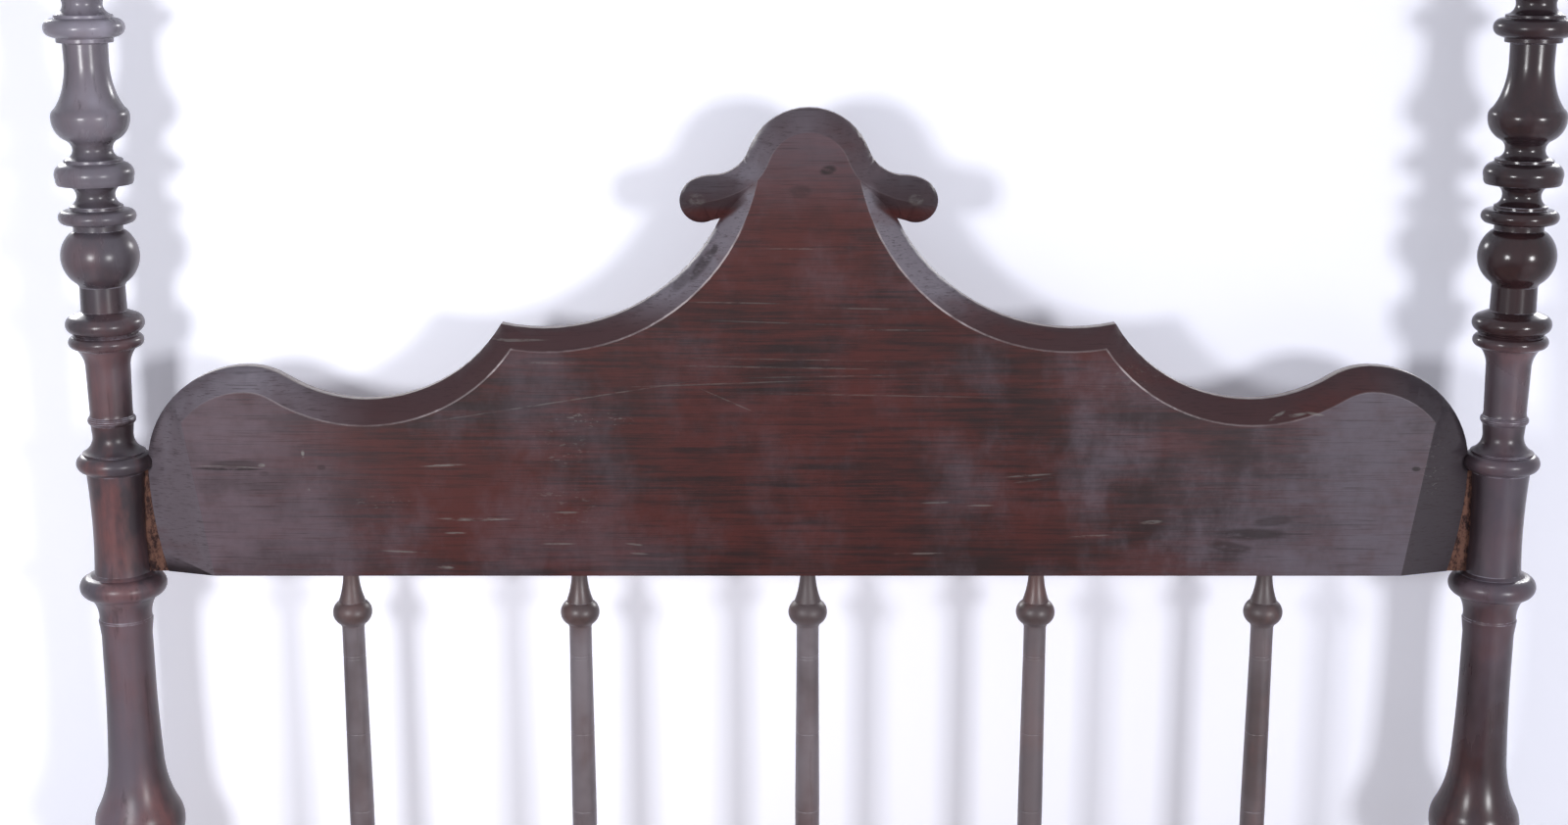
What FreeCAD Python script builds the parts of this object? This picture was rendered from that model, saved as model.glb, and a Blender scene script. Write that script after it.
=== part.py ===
import FreeCAD, Part
import math
import os

# A spindle bed with four turned posts. Millimetres, Z up, the floor at Z = 0,
# the origin under the middle of the bed, X across it and the head end at +Y.

# Driving dimensions of the frame
post_spacing = 1440.0          # head post to head post, axis to axis
bed_length = 1980.0            # head post axis to foot post axis
block_side = 96.0              # square of the post's rail block, the stock's own size
block_low = 270.0
block_high = 572.0
lambs_tongue = 21.0            # height over which a block's corners are turned away
rail_low = 300.0
rail_high = 450.0
rail_thickness = 32.0
end_rail_thickness = 36.0
joint_height = 1233.4          # where the upper post section stands on the lower one
post_top = 1940.0

# Joinery
finial_dowel_radius = 8.0
finial_dowel_length = 30.0
section_tenon_radius = 14.0
section_tenon_length = 70.0
running_clearance = 0.05       # round tenon in its bore, on the radius
end_clearance = 2.0            # room past the end of a tenon that lifts out
tenon_thickness = 16.0
tenon_height = 110.0
end_rail_edge = 4.0            # rounding of the rails' long edges
side_rail_edge = 5.0
end_rail_tenon = 38.0
side_rail_tenon = 12.0
peg_radius = 4.0
peg_length = 70.0
peg_inset = 19.0               # peg's axis behind the block's inner face
peg_offset = 30.0              # pegs above and below the middle of the rail

# Bed bolts
bolt_radius = 5.0
bolt_hole_radius = 5.5
counterbore_radius = 15.0
counterbore_depth = 22.0
washer_radius = 13.0
washer_thickness = 2.0
bolt_head_side = 16.0
bolt_head_height = 8.0
nut_side = 20.0
nut_height = 9.0
nut_setback = 75.0             # nut's bearing face behind the rail's shoulder
bolt_past_nut = 6.0
pocket_height = 24.0
pocket_length = 22.0
pocket_floor = 6.0             # wood left outside the nut's pocket

# Bolt covers
cover_radius = 21.0
cover_ear_radius = 8.0
cover_pivot_rise = 33.0        # pivot screw above the bolt's axis
cover_plate = 1.6
cover_gap = 0.3                # cover off the block's face
cover_dome_radius = 17.5
cover_dome_height = 6.5
cover_wall = 1.2
pivot_radius = 2.2
pivot_head_radius = 4.5
pivot_head_height = 2.0
pivot_length = 16.0

# Headboard panel
panel_front = -17.0            # face of the board, before the plane of the post axes
panel_back = 13.0
panel_bottom = 978.8
chamfer = 23.0                 # width of the sloped edge round the crest and the sweeps
shoulder_chamfer = 24.0
tongue_front = 1.0
tongue_top = 1089.0
tongue_to_axis = 8.0           # tongue's end short of the post's axis
tongue_root = 20.0             # tongue begins this far inside the panel's side

# Spindles
spindle_count = 5
spindle_radius = 11.7
spindle_neck_radius = 14.0
spindle_end_radius = 8.0
spindle_socket = 22.0
spindle_cove = 32.0
spindle_bead = 24.0
spindle_collar = 28.0          # plain length from the bead to the start of the swelling
spindle_foot = 4.0             # height of the small cove under the bead
tall_belly = 1.4               # swelling of a head spindle at its middle, on the radius
short_belly = 0.6

# Foot end
foot_bar_height = 700.0        # axis of the turned bar between the foot posts
foot_bar_radius = 22.0
foot_bar_end_radius = 14.0
foot_bar_socket = 28.0

# Mattress support
ledge_width = 28.0
ledge_height = 26.0
ledge_top = 355.0
ledge_length = 1860.0
ledge_screws_per_side = 5
ledge_screw_pitch = 430.0
slat_count = 12
slat_width = 90.0
slat_thickness = 22.0
slat_edge = 3.0
slat_end_clearance = 4.0
slat_pitch = 150.0

# Values that follow from the ones above
post_x = post_spacing / 2.0
head_y = bed_length / 2.0
half_block = block_side / 2.0
rail_middle = (rail_low + rail_high) / 2.0
spindle_pitch = post_spacing / (spindle_count + 1)
panel_middle = (panel_front + panel_back) / 2.0
overcut = 1.0                  # how far a cutter starts outside the face that it enters
rail_shoulder_y = head_y - half_block
rail_shoulder_x = post_x - half_block
rail_inner_x = post_x - rail_thickness / 2.0
axis_x = FreeCAD.Vector(1, 0, 0)
axis_y = FreeCAD.Vector(0, 1, 0)
axis_z = FreeCAD.Vector(0, 0, 1)
origin = FreeCAD.Vector(0, 0, 0)


def point(x, y, z):
    return FreeCAD.Vector(x, y, z)


def save(name, shape):
    shape.exportStep("parts/" + name + ".step")


def block(x0, x1, y0, y1, z0, z1):
    """A box between two opposite corners."""
    return Part.makeBox(x1 - x0, y1 - y0, z1 - z0, point(x0, y0, z0))


def rod(start, direction, radius, length):
    return Part.makeCylinder(radius, length, start, direction)


def joined(shapes):
    """One solid from touching solids, with the seams between flush faces removed."""
    return shapes[0].fuse(shapes[1:]).removeSplitter().Solids[0]


def cut_by(shape, tools):
    return shape.cut(tools).Solids[0]


def mirrored_x(shape):
    return shape.mirror(origin, axis_x)


def mirrored_y(shape):
    return shape.mirror(origin, axis_y)


def bowed(start, end, bulge):
    """An arc from start to end, both (radius, height), whose middle stands off the chord."""
    run = end[0] - start[0]
    rise = end[1] - start[1]
    length = math.hypot(run, rise)
    middle_r = (start[0] + end[0]) / 2.0 + bulge * rise / length
    middle_z = (start[1] + end[1]) / 2.0 - bulge * run / length
    middle = point(middle_r, 0, middle_z)
    return Part.Arc(point(start[0], 0, start[1]), middle, point(end[0], 0, end[1])).toShape()


def turned(steps):
    """A turning about Z. Each step is (radius, height) for a straight cut
    or (radius, height, bulge) for a round one, hollow where the bulge is negative."""
    first = steps[0]
    last = steps[-1]
    edges = [Part.makeLine(point(0, 0, first[1]), point(first[0], 0, first[1]))]
    for start, end in zip(steps, steps[1:]):
        if len(end) == 3:
            edges.append(bowed(start, end, end[2]))
        else:
            edges.append(Part.makeLine(point(start[0], 0, start[1]), point(end[0], 0, end[1])))
    edges.append(Part.makeLine(point(last[0], 0, last[1]), point(0, 0, last[1])))
    edges.append(Part.makeLine(point(0, 0, last[1]), point(0, 0, first[1])))
    return Part.Face(Part.Wire(edges)).revolve(origin, axis_z, 360).Solids[0]


def lower_post_blank():
    """Foot, square rail block and the turning up to the joint, on the Z axis."""
    block_start = block_low - lambs_tongue
    block_end = block_high + lambs_tongue
    throat = half_block - 1.0
    corner = half_block * math.sqrt(2.0) + 0.5
    tongue_bulge = 4.0
    foot = turned([
        (29, 0), (32, 7, 1.5), (26, 20, -1.2),
        (43, 140, 5), (33, 174, 5), (29.5, 176), (29.5, 184),
        (38, 186), (38, 206, 7), (33, 208),
        (throat, block_start, -6),
    ])
    square = turned([
        (throat, block_start), (corner, block_low, tongue_bulge),
        (corner, block_high), (throat, block_end, tongue_bulge),
    ])
    square = square.common(block(-half_block, half_block, -half_block, half_block, 0, post_top))
    shaft = turned([
        (throat, block_end), (44, block_end + 3), (33, 612, -3), (33, 616),
        (38, 618), (38, 640, 7.5), (33, 642), (31, 654, -0.6), (33, 664),
        (47, 700, 3.9), (42.5, 717, 1), (33, 742, -0.8), (28.8, 773, -0.8),
        (26.2, 851, -0.4), (26, 911), (28, 927), (27, 929), (30.5, 947, -1.2),
        (34, 953), (33, 976, 11), (28.5, 979),
        (26.9, 1024.6, -0.4), (29.5, 1087, -0.6),
        (31, 1088.5), (31, 1107, 7.8), (32, 1109), (20.8, 1129, -4),
        (21.6, 1138.5), (22, 1147, 2.6), (21.4, 1151), (22.4, 1197.5), (29.5, 1218, -2),
        (33, 1219.5), (33, 1232, 4.7), (32, joint_height),
    ])
    return joined([foot, square.Solids[0], shaft])


def upper_post_blank():
    """The section that stands on the lower post, with its round tenon below."""
    tenon_end = joint_height - section_tenon_length
    return turned([
        (section_tenon_radius - 1, tenon_end), (section_tenon_radius, tenon_end + 2),
        (section_tenon_radius, joint_height), (32, joint_height),
        (33, 1235), (33, 1253, 6.5), (23, 1257), (22.6, 1283),
        (24.5, 1286), (28, 1338, 12.7), (24.5, 1340), (24.5, 1346),
        (32.5, 1347), (31.5, 1361, 6.4), (26.5, 1361.5), (26.5, 1365),
        (29.5, 1386, -9), (36.8, 1386.5), (38.5, 1393, 0.6), (31.5, 1408, 3.5),
        (29, 1409), (29, 1412), (25.3, 1431, -7.5),
        (38.5, 1453, 3.6), (34, 1463.5, 1.6), (25.8, 1481, -0.8), (21.8, 1507, -0.9), (22.2, 1527),
        (27.9, 1528), (27.9, 1532), (32.5, 1533.5), (32.5, 1551.5, 7),
        (28.8, 1552), (28.8, 1555), (29, 1576, -9.5), (29, 1579),
        (33, 1580), (33, 1600, 7.5), (28, 1602), (28, 1605), (24, 1618, -2),
        (36, 1672, 3.5), (30, 1724, 1.2), (21, 1870, -1),
        (21, 1882, 3.5), (20.5, 1898), (29, 1912, -2.5),
        (33, 1914), (33, 1932, 7), (30, 1934), (30, post_top),
    ])


def finial_blank():
    """An urn with a ball, and the dowel that it stands on."""
    dowel_end = post_top - finial_dowel_length
    return turned([
        (finial_dowel_radius, dowel_end), (finial_dowel_radius, post_top),
        (26, post_top), (26, post_top + 5), (13, post_top + 18, -3),
        (13, post_top + 21), (19, post_top + 23), (18, post_top + 28, 2.2),
        (31, post_top + 58, 5), (24, post_top + 76, 3.4), (12, post_top + 84, -1),
        (11, post_top + 88), (14, post_top + 96, 1.6), (4, post_top + 118, 5.5),
        (0.5, post_top + 120),
    ])


def circle_meet(first, first_radius, second, second_radius):
    """The lower of the two points where two circles in the X-Z plane cross."""
    gap_x = second[0] - first[0]
    gap_z = second[1] - first[1]
    gap = math.hypot(gap_x, gap_z)
    along = (first_radius ** 2 - second_radius ** 2 + gap ** 2) / (2.0 * gap)
    aside = math.sqrt(first_radius ** 2 - along ** 2)
    base_x = first[0] + along * gap_x / gap
    base_z = first[1] + along * gap_z / gap
    sides = [-1.0, 1.0]
    ends = [(base_x + s * aside * gap_z / gap, base_z - s * aside * gap_x / gap) for s in sides]
    return min(ends, key=lambda end: end[1])


def towards(centre, target, distance):
    """The point at a distance from the centre, on the way to the target."""
    run = target[0] - centre[0]
    rise = target[1] - centre[1]
    length = math.hypot(run, rise)
    return (centre[0] + distance * run / length, centre[1] + distance * rise / length)


def headboard_panel():
    """The shaped board: crest, ears, sweeps and shoulders, all with a sloped edge.
    Outline points are (x, z) on the right half. The outline itself lies in the plane
    of the post axes, and the edge slopes from there to the board's face."""
    crest = (0.0, 1398.0)
    crest_radius = 65.0
    dip = (97.0, 1395.0)
    drop = crest[1] - dip[1]
    dip_radius = (dip[0] ** 2 + drop ** 2 - crest_radius ** 2) / (2.0 * (crest_radius + drop))
    dip_centre = (dip[0], dip[1] + dip_radius)
    brow_radius = 46.0
    brow_centre = (dip[0], dip[1] - brow_radius)
    brow_turn = math.radians(28.8)
    ear_radius = 22.3
    ear_step = brow_radius - ear_radius
    ear = (brow_centre[0] + ear_step * math.sin(brow_turn),
           brow_centre[1] + ear_step * math.cos(brow_turn))
    brow_end = towards(brow_centre, ear, brow_radius)
    lobe_turn = math.radians(245)
    lobe_end = (ear[0] + ear_radius * math.cos(lobe_turn), ear[1] + ear_radius * math.sin(lobe_turn))
    ear_root = (89.5, 1352.0)
    sweep = (271.0, 1440.0)
    sweep_radius = math.hypot(ear_root[0] - sweep[0], ear_root[1] - sweep[1])
    bowl = (456.0, 1329.0)
    bowl_radius = 165.3
    notch = circle_meet(sweep, sweep_radius, bowl, bowl_radius)
    bowl_low = (bowl[0], bowl[1] - bowl_radius)
    crown = (578.0, 1199.0)
    rise_radius = 74.6
    rise = (crown[0], crown[1] - rise_radius)
    shoulder_radius = 108.0
    shoulder = (crown[0], crown[1] - shoulder_radius)
    rise_x = rise[0] - bowl_low[0]
    rise_z = rise[1] - bowl_low[1]
    bend_radius = (rise_x ** 2 + rise_z ** 2 - rise_radius ** 2) / (2.0 * (rise_radius + rise_z))
    bend = (bowl_low[0], bowl_low[1] + bend_radius)
    bend_end = towards(rise, bend, rise_radius)
    hip = (shoulder[0] + shoulder_radius, shoulder[1])
    corner = (671.5, panel_bottom)
    hip_radius = ((hip[0] - corner[0]) ** 2 + (hip[1] - corner[1]) ** 2) / (2.0 * (hip[0] - corner[0]))
    hip_centre = (hip[0] - hip_radius, hip[1])

    # The same stretches on the board's face
    crest_join = towards(crest, dip_centre, crest_radius)
    crest_face_join = towards(crest, dip_centre, crest_radius - chamfer)
    cusp = circle_meet(dip_centre, dip_radius + chamfer, sweep, sweep_radius + chamfer)
    dip_start = towards(dip_centre, cusp, dip_radius)
    notch_face = (303.5, 1220.0)
    low_face = (bowl_low[0], bowl_low[1] - shoulder_chamfer)
    reach = math.hypot(notch_face[0] - low_face[0], notch_face[1] - low_face[1])
    bowl_face_radius = reach ** 2 / (2.0 * (notch_face[1] - low_face[1]))
    bowl_face = (low_face[0], low_face[1] + bowl_face_radius)
    bend_face_end = towards(rise, bend, rise_radius - shoulder_chamfer)
    crown_face = (crown[0], crown[1] - shoulder_chamfer)
    face_corner = towards(shoulder, (643.0, 1142.0), shoulder_radius - shoulder_chamfer)
    shoulder_end = towards(shoulder, face_corner, shoulder_radius)
    face_foot = (619.0, panel_bottom)
    share = (face_corner[1] - hip[1]) / (face_corner[1] - face_foot[1])
    face_hip = (face_corner[0] + share * (face_foot[0] - face_corner[0]), hip[1])
    sweep_face_radius = math.hypot(cusp[0] - sweep[0], cusp[1] - sweep[1])
    cusp_to_notch = towards(sweep, ((cusp[0] + notch_face[0]) / 2.0, (cusp[1] + notch_face[1]) / 2.0),
                            sweep_face_radius)

    # The ridge where the two slopes of an ear meet, falling to the middle of its round end
    ridge_depth = panel_front * 0.9
    ridge_middle = (85.0, 1374.5)
    ridge_middle_depth = panel_front * 0.94
    brow_foot = ((ear_root[0] + lobe_end[0]) / 2.0, (ear_root[1] + lobe_end[1]) / 2.0)

    def half(side):
        """Sloped faces and outline edges of one half; side is 1 or -1."""
        def place(at, depth):
            return point(side * at[0], head_y + depth, at[1])

        def round_edge(centre, start, end, depth):
            chord_middle = ((start[0] + end[0]) / 2.0, (start[1] + end[1]) / 2.0)
            radius = math.hypot(start[0] - centre[0], start[1] - centre[1])
            middle = towards(centre, chord_middle, radius)
            return Part.Arc(place(start, depth), place(middle, depth), place(end, depth)).toShape()

        def line(start, end, depth):
            return Part.makeLine(place(start, depth), place(end, depth))

        ridge = Part.Arc(place(cusp, panel_front), place(ridge_middle, ridge_middle_depth),
                         place(ear, ridge_depth))
        ridge_start = ridge.parameter(place(cusp, panel_front))
        ridge_turn = ridge.parameter(place(ridge_middle, ridge_middle_depth))
        ridge_end = ridge.parameter(place(ear, ridge_depth))
        near_ridge = ridge.toShape(ridge_start, ridge_turn)
        far_ridge = ridge.toShape(ridge_turn, ridge_end)

        outline = {
            "dip_start": round_edge(dip_centre, crest_join, dip_start, 0),
            "dip_end": round_edge(dip_centre, dip_start, dip, 0),
            "brow": round_edge(brow_centre, dip, brow_end, 0),
            "lobe": round_edge(ear, brow_end, lobe_end, 0),
            "under_far": line(lobe_end, brow_foot, 0),
            "under_near": line(brow_foot, ear_root, 0),
            "sweep": round_edge(sweep, ear_root, notch, 0),
            "bowl": round_edge(bowl, notch, bowl_low, 0),
            "bend": round_edge(bend, bowl_low, bend_end, 0),
            "rise": round_edge(rise, bend_end, crown, 0),
            "shoulder": round_edge(shoulder, crown, shoulder_end, 0),
            "hip": round_edge(shoulder, shoulder_end, hip, 0),
            "side": round_edge(hip_centre, hip, corner, 0),
        }
        face = {
            "dip_start": round_edge(dip_centre, crest_face_join, cusp, panel_front),
            "sweep": Part.Arc(place(cusp, panel_front), place(cusp_to_notch, panel_front),
                              place(notch_face, panel_front)).toShape(),
            "bowl": round_edge(bowl_face, notch_face, low_face, panel_front),
            "bend": round_edge(bend, low_face, bend_face_end, panel_front),
            "rise": round_edge(rise, bend_face_end, crown_face, panel_front),
            "shoulder": round_edge(shoulder, crown_face, face_corner, panel_front),
            "hip": line(face_corner, face_hip, panel_front),
            "side": line(face_hip, face_foot, panel_front),
        }
        slopes = [Part.makeRuledSurface(outline[name], face[name]) for name in face]
        slopes.append(Part.makeRuledSurface(outline["dip_end"], near_ridge))
        slopes.append(Part.makeRuledSurface(outline["brow"], far_ridge))
        slopes.append(Part.makeRuledSurface(outline["under_near"], near_ridge))
        slopes.append(Part.makeRuledSurface(outline["under_far"], far_ridge))
        rib = Part.makeLine(place(brow_end, 0), place(ear, ridge_depth))
        lobe_sweep = 360.0 - math.degrees(lobe_turn) + 90.0 - math.degrees(brow_turn)
        slopes.append(rib.revolve(place(ear, 0), axis_y, side * lobe_sweep))
        return slopes, list(outline.values()), list(face.values())

    right_slopes, right_outline, right_face = half(1)
    left_slopes, left_outline, left_face = half(-1)
    crest_line = Part.Arc(point(-crest_join[0], head_y, crest_join[1]),
                          point(0, head_y, crest[1] + crest_radius),
                          point(crest_join[0], head_y, crest_join[1])).toShape()
    front_y = head_y + panel_front
    back_y = head_y + panel_back
    crest_face = Part.Arc(point(-crest_face_join[0], front_y, crest_face_join[1]),
                          point(0, front_y, crest[1] + crest_radius - chamfer),
                          point(crest_face_join[0], front_y, crest_face_join[1])).toShape()
    bottom = [point(-face_foot[0], front_y, panel_bottom), point(face_foot[0], front_y, panel_bottom),
              point(corner[0], head_y, panel_bottom), point(corner[0], back_y, panel_bottom),
              point(-corner[0], back_y, panel_bottom), point(-corner[0], head_y, panel_bottom)]
    outline = right_outline + left_outline + [crest_line]
    depth = point(0, panel_back, 0)
    face_edges = right_face + left_face + [crest_face, Part.makeLine(bottom[0], bottom[1])]
    back_edges = [edge.translated(depth) for edge in outline]
    back_edges.append(Part.makeLine(bottom[3], bottom[4]))
    faces = right_slopes + left_slopes
    faces.append(Part.makeRuledSurface(crest_line, crest_face))
    faces.append(Part.Face(Part.Wire(Part.__sortEdges__(face_edges))))
    faces.append(Part.Face(Part.Wire(Part.__sortEdges__(back_edges))))
    faces.append(Part.Face(Part.makePolygon(bottom + [bottom[0]])))
    faces.extend([edge.extrude(depth) for edge in outline])
    skin = Part.makeCompound(faces)
    skin.sewShape()
    solid = Part.Solid(skin.Shells[0])
    if solid.Volume < 0:
        solid.reverse()
    return solid


def tongue(side):
    """Barefaced tongue that leaves the panel's side and enters the post; side is 1 or -1."""
    inside = side * (post_x - half_block - tongue_root)
    outside = side * (post_x - tongue_to_axis)
    low, high = sorted([inside, outside])
    return block(low, high, head_y + tongue_front, head_y + panel_back, panel_bottom, tongue_top)


def spindle_places():
    first = -(spindle_count - 1) / 2.0 * spindle_pitch
    return [first + i * spindle_pitch for i in range(spindle_count)]


def headboard():
    board = joined([headboard_panel(), tongue(1), tongue(-1)])
    sockets = [rod(point(x, head_y + panel_middle, panel_bottom - overcut), axis_z,
                   spindle_end_radius, spindle_socket + overcut) for x in spindle_places()]
    return cut_by(board, sockets)


def spindle(low, high, belly):
    """A spindle between two rails: cove, bead and plain shaft, alike towards either end."""
    middle = (low + high) / 2.0
    bead_top = high - spindle_cove
    bead_low = bead_top - spindle_bead
    half = turned([
        (spindle_radius + belly, middle), (spindle_radius, bead_low - spindle_collar),
        (spindle_radius, bead_low - spindle_foot), (spindle_neck_radius - 1, bead_low - 1),
        (spindle_neck_radius, bead_low), (spindle_neck_radius, bead_top, 6.4),
        (spindle_end_radius, high, -1.4), (spindle_end_radius, high + spindle_socket),
    ])
    return joined([half, half.mirror(point(0, 0, middle), axis_z)])


def softened(bar, along, radius):
    """Rounds the long edges of a bar that run along the given axis."""
    edges = []
    for edge in bar.Edges:
        way = edge.Vertexes[1].Point - edge.Vertexes[0].Point
        if abs(way.normalize().dot(along)) > 0.999:
            edges.append(edge)
    return bar.makeFillet(radius, edges)


def end_rail(y, with_sockets_at):
    """Rail between two posts across the bed, tenoned at both ends and bored for spindles."""
    half_thick = end_rail_thickness / 2.0
    bar = block(-rail_shoulder_x, rail_shoulder_x, y - half_thick, y + half_thick, rail_low, rail_high)
    bar = softened(bar, axis_x, end_rail_edge)
    reach = rail_shoulder_x + end_rail_tenon
    tenon = block(-reach, reach, y - tenon_thickness / 2.0, y + tenon_thickness / 2.0,
                  rail_middle - tenon_height / 2.0, rail_middle + tenon_height / 2.0)
    bar = joined([bar, tenon])
    sockets = [rod(point(x, y, rail_high + overcut), -axis_z, spindle_end_radius,
                   spindle_socket + overcut) for x in with_sockets_at]
    return cut_by(bar, sockets + peg_set())


def peg_set():
    """Round pegs through the end rails' tenons, flush with the posts' outer faces."""
    pegs = []
    for x_side in (-1, 1):
        for y_side in (-1, 1):
            for z_side in (-1, 1):
                start = point(x_side * (rail_shoulder_x + peg_inset), y_side * (head_y + half_block),
                              rail_middle + z_side * peg_offset)
                pegs.append(rod(start, axis_y * -y_side, peg_radius, peg_length))
    return pegs


def side_rail():
    """Right side rail along Y: stub tenons, bolt holes and pockets for the nuts."""
    half_thick = rail_thickness / 2.0
    bar = block(post_x - half_thick, post_x + half_thick, -rail_shoulder_y, rail_shoulder_y,
                rail_low, rail_high)
    bar = softened(bar, axis_y, side_rail_edge)
    reach = rail_shoulder_y + side_rail_tenon
    tenon = block(post_x - tenon_thickness / 2.0, post_x + tenon_thickness / 2.0, -reach, reach,
                  rail_middle - tenon_height / 2.0, rail_middle + tenon_height / 2.0)
    bar = joined([bar, tenon])
    tools = []
    for side in (-1, 1):
        bearing = side * (rail_shoulder_y - nut_setback)
        bore_length = side_rail_tenon + nut_setback + pocket_length
        tools.append(rod(point(post_x, side * reach, rail_middle), axis_y * -side,
                         bolt_hole_radius, bore_length))
        low, high = sorted([bearing, bearing - side * pocket_length])
        tools.append(block(rail_inner_x - overcut, post_x + half_thick - pocket_floor, low, high,
                           rail_middle - pocket_height / 2.0, rail_middle + pocket_height / 2.0))
    tools.extend(ledge_screw(1, y) for y in ledge_screw_places())
    return cut_by(bar, tools)


def ledge_screw_places():
    first = -(ledge_screws_per_side - 1) / 2.0 * ledge_screw_pitch
    return [first + i * ledge_screw_pitch for i in range(ledge_screws_per_side)]


def ledge_screw(side, y):
    """Countersunk wood screw through the ledge into the side rail, head flush."""
    face = side * (rail_inner_x - ledge_width)
    height = ledge_top - ledge_height / 2.0
    head_radius = 4.5
    head_depth = 3.0
    shank_radius = 2.2
    length = 40.0
    head = Part.makeCone(head_radius, shank_radius, head_depth, point(face, y, height), axis_x * side)
    shank = rod(point(face + side * head_depth, y, height), axis_x * side,
                shank_radius, length - head_depth)
    return joined([head, shank])


def ledge():
    """Right ledge that carries the slats along the side rail."""
    bar = block(rail_inner_x - ledge_width, rail_inner_x, -ledge_length / 2.0, ledge_length / 2.0,
                ledge_top - ledge_height, ledge_top)
    return cut_by(bar, [ledge_screw(1, y) for y in ledge_screw_places()])


def slat(index):
    reach = rail_inner_x - slat_end_clearance
    middle = (index - (slat_count - 1) / 2.0) * slat_pitch
    board = block(-reach, reach, middle - slat_width / 2.0, middle + slat_width / 2.0,
                  ledge_top, ledge_top + slat_thickness)
    return softened(board, axis_x, slat_edge)


def foot_bar():
    """Turned bar between the foot posts, bored from below for the foot spindles."""
    half_way = [
        (foot_bar_radius, 0), (foot_bar_radius, 108), (foot_bar_radius, 132, 5),
        (foot_bar_radius, 348), (foot_bar_radius, 372, 5), (foot_bar_radius, 588),
        (24, 590), (24, 612, 6), (21, 614), (foot_bar_end_radius, 642, -2.5),
        (foot_bar_end_radius, rail_shoulder_x + foot_bar_socket),
    ]
    half_bar = turned(half_way)
    half_bar.rotate(origin, axis_y, 90)
    whole = joined([half_bar, mirrored_x(half_bar)])
    whole.translate(point(0, -head_y, foot_bar_height))
    sockets = [rod(point(x, -head_y, foot_bar_height - foot_bar_radius - overcut), axis_z,
                   spindle_end_radius, spindle_socket + overcut) for x in spindle_places()]
    return cut_by(whole, sockets)


def post_joinery():
    """What is cut from a lower post at +X, +Y to take the rails, bolt, pegs and cover."""
    outer = head_y + half_block
    bolt_line = point(post_x, outer, rail_middle)
    tools = [
        rod(point(post_x, head_y, joint_height), -axis_z, section_tenon_radius + running_clearance,
            section_tenon_length + end_clearance),
        block(post_x - tenon_thickness / 2.0, post_x + tenon_thickness / 2.0,
              rail_shoulder_y, rail_shoulder_y + side_rail_tenon,
              rail_middle - tenon_height / 2.0, rail_middle + tenon_height / 2.0),
        rod(bolt_line, -axis_y, bolt_hole_radius, block_side),
        rod(bolt_line, -axis_y, counterbore_radius, counterbore_depth),
        rod(bolt_line + axis_z * cover_pivot_rise, -axis_y, pivot_radius, pivot_length),
    ]
    return tools + peg_set()


def end_rail_mortise(y):
    return block(rail_shoulder_x, rail_shoulder_x + end_rail_tenon,
                 y - tenon_thickness / 2.0, y + tenon_thickness / 2.0,
                 rail_middle - tenon_height / 2.0, rail_middle + tenon_height / 2.0)


def head_post(board):
    """Right lower head post, slotted for the panel's edge and mortised for its tongue."""
    blank = lower_post_blank().translated(point(post_x, head_y, 0))
    tools = post_joinery() + [end_rail_mortise(head_y + panel_middle), board]
    return cut_by(blank, tools)


def foot_post():
    """Right lower foot post, bored for the turned bar."""
    blank = lower_post_blank().translated(point(post_x, -head_y, 0))
    tools = [mirrored_y(tool) for tool in post_joinery()]
    tools.append(end_rail_mortise(-head_y))
    tools.append(rod(point(rail_shoulder_x + foot_bar_socket, -head_y, foot_bar_height), -axis_x,
                     foot_bar_end_radius, block_side))
    return cut_by(blank, tools)


def upper_post():
    """Right upper head section, bored for the finial's dowel."""
    section = upper_post_blank().translated(point(post_x, head_y, 0))
    bore = rod(point(post_x, head_y, post_top), -axis_z, finial_dowel_radius, finial_dowel_length)
    return cut_by(section, [bore])


def bed_bolt():
    """Bolt with its washer through the right head post into the side rail."""
    seat = head_y + half_block - counterbore_depth
    end = rail_shoulder_y - nut_setback - nut_height - bolt_past_nut
    half_head = bolt_head_side / 2.0
    shank = rod(point(post_x, seat, rail_middle), -axis_y, bolt_radius, seat - end)
    washer = rod(point(post_x, seat, rail_middle), axis_y, washer_radius, washer_thickness)
    head = block(post_x - half_head, post_x + half_head, seat + washer_thickness,
                 seat + washer_thickness + bolt_head_height,
                 rail_middle - half_head, rail_middle + half_head)
    return joined([shank, washer, head])


def bolt_nut():
    bearing = rail_shoulder_y - nut_setback
    half_nut = nut_side / 2.0
    body = block(post_x - half_nut, post_x + half_nut, bearing - nut_height, bearing,
                 rail_middle - half_nut, rail_middle + half_nut)
    thread = rod(point(post_x, bearing + overcut, rail_middle), -axis_y, bolt_radius,
                 nut_height + 2.0 * overcut)
    return cut_by(body, [thread])


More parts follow.
